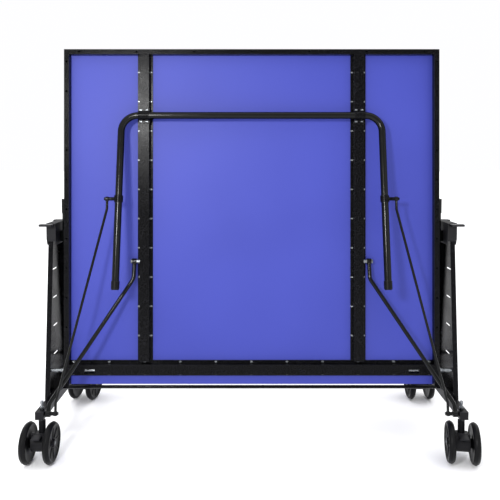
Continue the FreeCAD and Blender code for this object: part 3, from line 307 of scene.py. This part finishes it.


# in each finish below, the last and palest colour is a painted edge highlight, and partly wear
sandBlack = texturedPowderCoat("texturedPowderCoat", {
    "grain": 3.2, "cloud": 60, "edge": 1.2, "bump": 1.0, "rough": (0.18, 0.28), "gloss": 0.07,
    "dark": "#000001", "light": "#202023", "edgeWearAndHighlight": "#3E3E42"})
tubeBlack = texturedPowderCoat("satinTubePaint", {
    "grain": 1.4, "cloud": 40, "edge": 0.8, "bump": 0.2, "rough": (0.14, 0.22), "gloss": 0.18,
    "dark": "#020303", "light": "#0A0C0B", "edgeWearAndHighlight": "#2A2D2C"})
capPlastic = mouldedPlastic("grainedPolypropylene", {
    "grain": 1.2, "edge": 1.5, "bump": 0.35, "rough": (0.5, 0.66), "gloss": 0.12,
    "dark": "#161618", "light": "#242426", "edgeWearAndHighlight": "#4C4C50"})
leverPlastic = mouldedPlastic("polishedAbs", {
    "grain": 2.0, "edge": 1.0, "bump": 0.08, "rough": (0.2, 0.3), "gloss": 0.22,
    "dark": "#0E0E10", "light": "#161618", "edgeWearAndHighlight": "#333337"})
nylonBlack = mouldedPlastic("glassFilledNylon", {
    "grain": 1.6, "edge": 0.8, "bump": 0.25, "rough": (0.34, 0.5), "gloss": 0.12,
    "dark": "#0D0D0F", "light": "#1B1B1E", "edgeWearAndHighlight": "#3C3C40"})
rubberBlack = mouldedPlastic("vulcanisedRubber", {
    "grain": 2.2, "edge": 0.8, "bump": 0.3, "rough": (0.3, 0.45), "gloss": 0.1,
    "dark": "#040405", "light": "#101011", "edgeWearAndHighlight": "#4C4C4E"})
zinc = zincPlate("zincPlatedSteel")
whiteTape = plainWeave("cottonTape", "#EDEDEA", "#C9C9C6", 0.8)
netCord = plainWeave("braidedNylonCord", "#2A3033", "#15191B", 0.9)
boards = {side: boardPaint("rollerCoatedBlue_" + side, side) for side in ("front", "rear")}

# a name that starts as listed gets that finish, and any other node is powder coated
families = {
    "table_top_front": boards["front"], "table_top_rear": boards["rear"], "guide_axle": zinc,
    "guide_rollers": nylonBlack, "panel_screws": zinc, "caster_stems": zinc, "frame_bolts": zinc,
    "rail_plugs": nylonBlack, "lever_lugs": nylonBlack, "strut_brackets": zinc, "net_mesh": netCord,
    "net_tape": whiteTape, "upright_cap": capPlastic, "release_lever": leverPlastic,
    "caster_body": nylonBlack, "caster_wheels": rubberBlack, "brake_pedal": nylonBlack,
    "leg_feet": rubberBlack, "u_leg": tubeBlack, "leg_rods": tubeBlack, "struts": tubeBlack,
    "tie_bars": tubeBlack, "net_post": tubeBlack,
}
for name, node in nodes.items():
    finish = next((finish for start, finish in families.items() if name.startswith(start)), sandBlack)
    node.data.materials.clear()
    node.data.materials.append(finish)
print("materials on every CAD node")


# wheels: two on each axle

wheel = {"radius": 77, "thick": 28, "pitch": 88, "shoulder": 70, "ridge": 1.2, "ridgeHalf": 1.3,
         "rim": 65, "rimStep": 1.6, "roundTo": 0.7, "crownPower": 2.2, "dish": 9, "dishSwell": 2.5,
         "boss": 15, "bore": 6, "innerDeep": 5, "ribs": 8, "ribWide": 5, "ribRise": 3.2, "ribFade": 4,
         "sides": 144, "axle": 5.5, "shaft": 3.9, "rivetHigh": 1.6, "rivetFlat": 0.12, "sunk": 0.4,
         "pastWheel": 14, "axleSides": 32}


def wheelSurface(settings):
    # profile of (distance along the axle, radius) from the outer boss over the tread to the inner boss, with
    # corners rounded by points a millimetre or two apart. The dish rises by a smooth bump at each rib:
    # along = profile - rise * exp(-(distance to rib / half width)^4) * (0 at rim and boss, 1 between)
    thick, boss, bore, rim, dish = (settings[key] for key in ("thick", "boss", "bore", "rim", "dish"))
    step, shoulder, ridge = settings["rimStep"], settings["shoulder"], settings["ridge"]
    dishStart, dishEnd = boss + 5, rim - 5
    hollow = np.linspace(dishStart, dishEnd, 12)[1:-1]
    outer = [(0.4, bore), (0, bore + 1.5), (0, boss - 1.5), (0.8, boss), (dish - 1, boss + 2),
             (dish, dishStart)]
    outer += [(dish - settings["dishSwell"] * ((x - dishStart) / (dishEnd - dishStart)) ** 2, x)
              for x in hollow]
    outer += [(dish - 4, rim - 3.5), (2.4, rim - 0.8), (step, rim + 0.4), (step, shoulder - 1)]
    x = np.linspace(0, 1, 17)
    crown = settings["radius"] - ridge
    tread = crown - (crown - shoulder) * np.abs(2 * x - 1) ** settings["crownPower"]
    across = step + settings["roundTo"] + (thick - 2 * step - 2 * settings["roundTo"]) * x
    tread += ridge * np.exp(-((across - thick / 2) / settings["ridgeHalf"]) ** 2)
    floor = thick - settings["innerDeep"]
    inner = [(thick - step, shoulder - 1), (thick - step, rim), (floor, rim - 3), (floor, dishStart),
             (thick, boss + 1), (thick, bore)]
    profile = np.array(outer + list(zip(across, tread)) + inner) * mm
    sides = settings["sides"]
    points, faces = revolved(profile, sides)
    grid = points.reshape(len(profile), sides, 3)
    angle = np.arange(sides) * turn / sides
    away = np.abs((angle * settings["ribs"] / turn + 0.5) % 1 - 0.5) * turn / settings["ribs"]
    radius = profile[:, 1:] / mm
    fade = settings["ribFade"]
    body = np.clip((radius - boss - 1) / fade, 0, 1) * np.clip((rim - 3 - radius) / fade, 0, 1)
    body[len(outer):] = 0
    ribs = body * np.exp(-(away * radius / (settings["ribWide"] / 2)) ** 4)
    grid[:, :, 0] -= settings["ribRise"] * mm * ribs
    return capped(grid.reshape(-1, 3), faces, sides)


def axleSurface(settings):
    # domed rivet head, then the shaft that runs to the middle of the caster
    head, shaft, sunk = settings["axle"], settings["shaft"], settings["sunk"]
    dome = [(-settings["rivetHigh"] * math.cos(a), head * math.sin(a))
            for a in np.linspace(settings["rivetFlat"], math.pi / 2, 7)]
    shaftEnd = settings["pitch"] / 2 + settings["pastWheel"]
    profile = np.array(dome + [(sunk, head), (sunk, shaft), (shaftEnd, shaft)]) * mm
    points, faces = revolved(profile, settings["axleSides"])
    return capped(points, faces, settings["axleSides"])


wheelPoints, wheelFaces = wheelSurface(wheel)
axlePoints, axleFaces = axleSurface(wheel)
for corner in ("front_right", "front_left", "rear_left", "rear_right"):
    joint = joints["wheel_spin_" + corner]
    middle, axis = np.array(joint["pos_m"]), np.array(joint["axis"], float)
    outside = (wheel["pitch"] + wheel["thick"]) / 2 * mm
    parts = []
    for shape, shapeFaces in ((wheelPoints, wheelFaces), (axlePoints, axleFaces)):
        for way in (1, -1):
            parts.append((framed(shape, middle - axis * way * outside, axis * way, (0, 0, 1)), shapeFaces))
    points, faces = merged(parts)
    tyres = meshPiece("casterWheels_" + corner, points, faces, rubberBlack)
    tyres.data.materials.append(zinc)
    ofZinc = np.zeros(len(faces), int)
    ofZinc[2 * len(wheelFaces):] = 1
    tyres.data.polygons.foreach_set("material_index", ofZinc)
    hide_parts("caster_wheels_" + corner)
    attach(tyres, "wheels_" + corner)
print("wheels")


# screws: a hexagon with a washer under it, one at each head of the CAD node

screw = {"hexagon": 2.9, "washer": 3.5, "washerHigh": 0.9, "washerSlope": 0.6, "high": 3.4, "chamfer": 0.5,
         "chamferTo": 0.86, "recessTo": 0.45, "middleUp": 1.5, "sides": 12, "reach": 8, "lean": 2.5}


def hexRadius(angle, corner):
    # distance from the middle of a hexagon to its side
    return corner * math.cos(math.pi / 6) / np.cos((angle % (math.pi / 3)) - math.pi / 6)


def hexSolid(rows, sides):
    # each row is (height, hexagon corner radius or 0 for a circle, largest radius), and the outline is the
    # smaller of the hexagon's side and the circle of the largest radius
    angle = np.arange(sides) * turn / sides
    grid = []
    for high, corner, limit in rows:
        radius = np.minimum(hexRadius(angle, corner), limit) if corner else np.full(sides, limit)
        grid.append(np.stack([np.full(sides, high), radius * np.cos(angle), radius * np.sin(angle)], 1))
    return capped(np.concatenate(grid) * mm, gridFaces(len(rows), sides, True), sides)


def manyOf(points, faces, places, along, up):
    # the same solid at many places
    placed = framed(points, (0, 0, 0), along, up)
    allPoints = (np.asarray(places)[:, None, :] + placed[None]).reshape(-1, 3)
    return allPoints, [[k + n * len(points) for k in f] for n in range(len(places)) for f in faces]


def headSurface(settings):
    # washer with a sloped rim, then the hexagon with a chamfered top and a shallow recess
    washer, washerTop, high = settings["washer"], settings["washerHigh"], settings["high"]
    hexagon, shoulder = settings["hexagon"], high - settings["chamfer"]
    return hexSolid([
        (0, 0, washer), (washerTop * 0.6, 0, washer), (washerTop, 0, washer - settings["washerSlope"]),
        (washerTop, hexagon, hexagon), (shoulder, hexagon, hexagon),
        (high, hexagon, hexagon * settings["chamferTo"]), (shoulder, 0, hexagon * settings["recessTo"])],
        settings["sides"])


headPoints, headFaces = headSurface(screw)
for side, outwards in (("front", -1), ("rear", 1)):
    heads = islands("panel_screws_" + side, screw["reach"] * mm)
    lean = math.radians(screw["lean"])
    normal = np.array((0, outwards * math.cos(lean), math.sin(lean)))
    points, faces = manyOf(headPoints, headFaces, heads - normal * screw["middleUp"] * mm, normal, (0, 0, 1))
    screws = meshPiece("panelScrews_" + side, points, faces, zinc, False)
    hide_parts("panel_screws_" + side)
    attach(screws, "half_" + side)
    print("screws:", len(heads))


# caster stems: threaded rod with two nuts and a cap nut

stem = {"radius": 5, "pitch": 1.5, "depth": 0.5, "low": 108, "high": 222, "nut": 8.5, "nutHigh": 8,
        "chamfer": 0.7, "chamferTo": 0.88, "crown": 7, "crownStart": 0.6, "crownTo": 0.9, "domeTo": 0.97,
        "domeSink": 0.8, "domeEnd": 1.45, "top": 229, "rail": (166, 196), "steps": 8, "sides": 24,
        "nutSides": 48}


def threadSurface(settings):
    # radius = rod radius - depth * triangle wave(height / pitch - angle / full turn)
    high = np.arange(settings["low"], settings["high"], settings["pitch"] / settings["steps"])
    sides = settings["sides"]
    angle = np.arange(sides) * turn / sides
    wave = (high[:, None] / settings["pitch"] - angle[None] / turn) % 1
    radius = settings["radius"] - settings["depth"] * np.abs(2 * wave - 1)
    grid = np.stack([np.repeat(high[:, None], sides, 1), radius * np.cos(angle), radius * np.sin(angle)], 2)
    return capped(grid.reshape(-1, 3) * mm, gridFaces(len(high), sides, True), sides)


def nutSurface(settings):
    # both ends chamfered by a circle smaller than the corners
    high, corner, chamfer = settings["nutHigh"], settings["nut"], settings["chamfer"]
    tip = corner * settings["chamferTo"]
    return hexSolid([(0, corner, tip), (chamfer, corner, corner), (high - chamfer, corner, corner),
                     (high, corner, tip), (high, 0, settings["radius"])], settings["nutSides"])


def crownSurface(settings):
    # hexagon skirt below a dome
    r = settings["crown"]
    dome = [(r + r * math.sin(a) - settings["domeSink"], 0, r * settings["domeTo"] * math.cos(a))
            for a in np.linspace(0, settings["domeEnd"], 10)]
    skirt = [(0, r, r * settings["crownTo"]), (settings["crownStart"], r, r), (r - 1, r, r)]
    return hexSolid(skirt + dome, settings["nutSides"])


offX, offY = joints["swivel_front_left"]["pos_m"][:2]
spots = np.array([(x, y, 0) for x in (offX, -offX) for y in (offY, -offY)])
below, above = stem["rail"]
parts = [manyOf(*threadSurface(stem), spots, (0, 0, 1), (0, 1, 0))]
for shape, lift in ((nutSurface(stem), below - stem["nutHigh"]), (nutSurface(stem), above),
                    (crownSurface(stem), stem["top"] - 2 * stem["crown"])):
    parts.append(manyOf(*shape, spots + np.array((0, 0, lift * mm)), (0, 0, 1), (0, 1, 0)))
points, faces = merged(parts)
stems = meshPiece("casterStems", points, faces, zinc, False)
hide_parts("caster_stems")
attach(stems, "undercarriage")
print("stems")


# net: crossing cords as one lattice, with a folded white tape along the top

# real cords are about a millimetre wide and are drawn coarser so that the lattice shows
net = {"cell": 10, "cord": 1.8, "thick": 0.7, "ripple": 1.6, "tapeHigh": 15, "tapeThick": 1.5,
       "tapeRound": 1.7, "foldDown": 1.9, "tapeSag": 0.5, "tapeSteps": 200}
low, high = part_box("net_mesh")
tapeLow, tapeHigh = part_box("net_tape")


def netRipple(x, z, settings):
    # a few long shallow waves that die out at both posts
    reach = x / high.x
    wave = np.sin(7.1 * reach + 0.4) + 0.5 * np.sin(17.3 * reach + 31 * (z - low.z) + 1.3)
    return settings["ripple"] * mm * wave * (1 - reach ** 4) / 1.5


def cordLines(start, end, settings):
    # two coordinates a cord, spaced by the cell
    count = int(round((end - start) / (settings["cell"] * mm)))
    middles = np.linspace(start + settings["cord"] * mm / 2, end - settings["cord"] * mm / 2, count + 1)
    return np.stack([middles - settings["cord"] * mm / 2, middles + settings["cord"] * mm / 2], 1).ravel()


acrossNet, upNet = cordLines(low.x, high.x, net), cordLines(low.z, high.z + net["cord"] * mm, net)
gridX, gridZ = np.meshgrid(acrossNet, upNet)
points = np.stack([gridX, netRipple(gridX, gridZ, net), gridZ], 2).reshape(-1, 3)
faces = gridFaces(len(upNet), len(acrossNet), False)
rowOf, columnOf = np.meshgrid(np.arange(len(upNet) - 1), np.arange(len(acrossNet) - 1), indexing="ij")
onCord = ((rowOf % 2 == 0) | (columnOf % 2 == 0)).ravel()
cords = meshPiece("netCords", points, faces[onCord], netCord)
thickness = cords.modifiers.new("cordThickness", "SOLIDIFY")
thickness.thickness = net["thick"] * mm
thickness.offset = 0
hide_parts("net_mesh")
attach(cords, "undercarriage")

# tape profile in (depth, height), turned round so that it runs up the back, over the top and down the front
# and its faces point outwards; the drop lets its lower edges wander a little
foldMiddle = net["tapeHigh"] - net["foldDown"]
bend = [(-net["tapeRound"] * math.cos(a), foldMiddle + net["tapeRound"] * math.sin(a))
        for a in np.linspace(0, math.pi, 9)]
fold = [(-net["tapeThick"] / 2, 0)] + bend + [(net["tapeThick"] / 2, 0)]
fold = np.array(fold)[::-1] * mm
length = np.linspace(tapeLow.x, tapeHigh.x, net["tapeSteps"])
drop = net["tapeSag"] * mm * np.sin(41 * length) * np.sin(13 * length + 0.7)
base = np.repeat(netRipple(length, tapeLow.z, net)[None], len(fold), 0)
height = tapeLow.z + fold[:, 1:] + drop * (fold[:, 1:] < 1 * mm)
tapePoints = np.stack([np.repeat(length[None], len(fold), 0), base + fold[:, :1], height], 2)
tapePoints = tapePoints.transpose(1, 0, 2).reshape(-1, 3)
tapeFaces = gridFaces(len(length), len(fold), True)
tape = meshPiece("netTape", *capped(tapePoints, tapeFaces, len(fold)), whiteTape)
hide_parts("net_tape")
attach(tape, "undercarriage")
print("net")


# camera, floor and light

cameraAt = {"out": 2.5, "up": 1.165, "down": 2.5, "lens": 42.7, "shift": (-0.0034, -0.138)}
lens = bpy.data.cameras.new("camera")
lens.lens = cameraAt["lens"]
lens.shift_x, lens.shift_y = cameraAt["shift"]
camera = bpy.data.objects.new("camera", lens)
camera.location = (0, -cameraAt["out"], cameraAt["up"])
camera.rotation_euler = (math.radians(90 - cameraAt["down"]), 0, 0)
bpy.context.scene.collection.objects.link(camera)
bpy.context.scene.camera = camera

floorMaterial, tree, shader = newMaterial("palePaper")
shader.inputs["Base Color"].default_value = colour("#FBFBFC")
shader.inputs["Roughness"].default_value = 0.9
half = 40.0
floor = meshPiece("floor", np.array([(-half, -half, 0), (half, -half, 0), (half, half, 0), (-half, half, 0)]),
                  np.array([[0, 1, 2, 3]]), floorMaterial, False)

world = bpy.data.worlds.new("studio")
world.use_nodes = True
world.node_tree.nodes["Background"].inputs["Color"].default_value = colour("#FBFBFD")
world.node_tree.nodes["Background"].inputs["Strength"].default_value = 1.03
bpy.context.scene.world = world
bpy.context.scene.view_settings.view_transform = "Standard"   # plain studio white and true paint colours


def areaLight(name, place, target, size, power):
    light = bpy.data.lights.new(name, "AREA")
    light.shape = "DISK"
    light.size = size
    light.energy = power
    lamp = bpy.data.objects.new(name, light)
    lamp.location = place
    direction = np.array(target, float) - np.array(place, float)
    lamp.rotation_euler = Vector(direction).to_track_quat("-Z", "Y").to_euler()
    bpy.context.scene.collection.objects.link(lamp)


areaLight("key", (-0.95, -2.6, 1.75), (-0.4, 0, 1.2), 0.4, 54)
areaLight("fill", (3.2, -3.0, 1.6), (0.2, 0, 0.7), 2.4, 10)
overhead = bpy.data.lights.new("overhead", "SUN")
overhead.angle = math.radians(110)
overhead.energy = 1.9
sun = bpy.data.objects.new("overhead", overhead)
sun.rotation_euler = (math.radians(-12), 0, 0)
bpy.context.scene.collection.objects.link(sun)
print("camera, floor and lights")
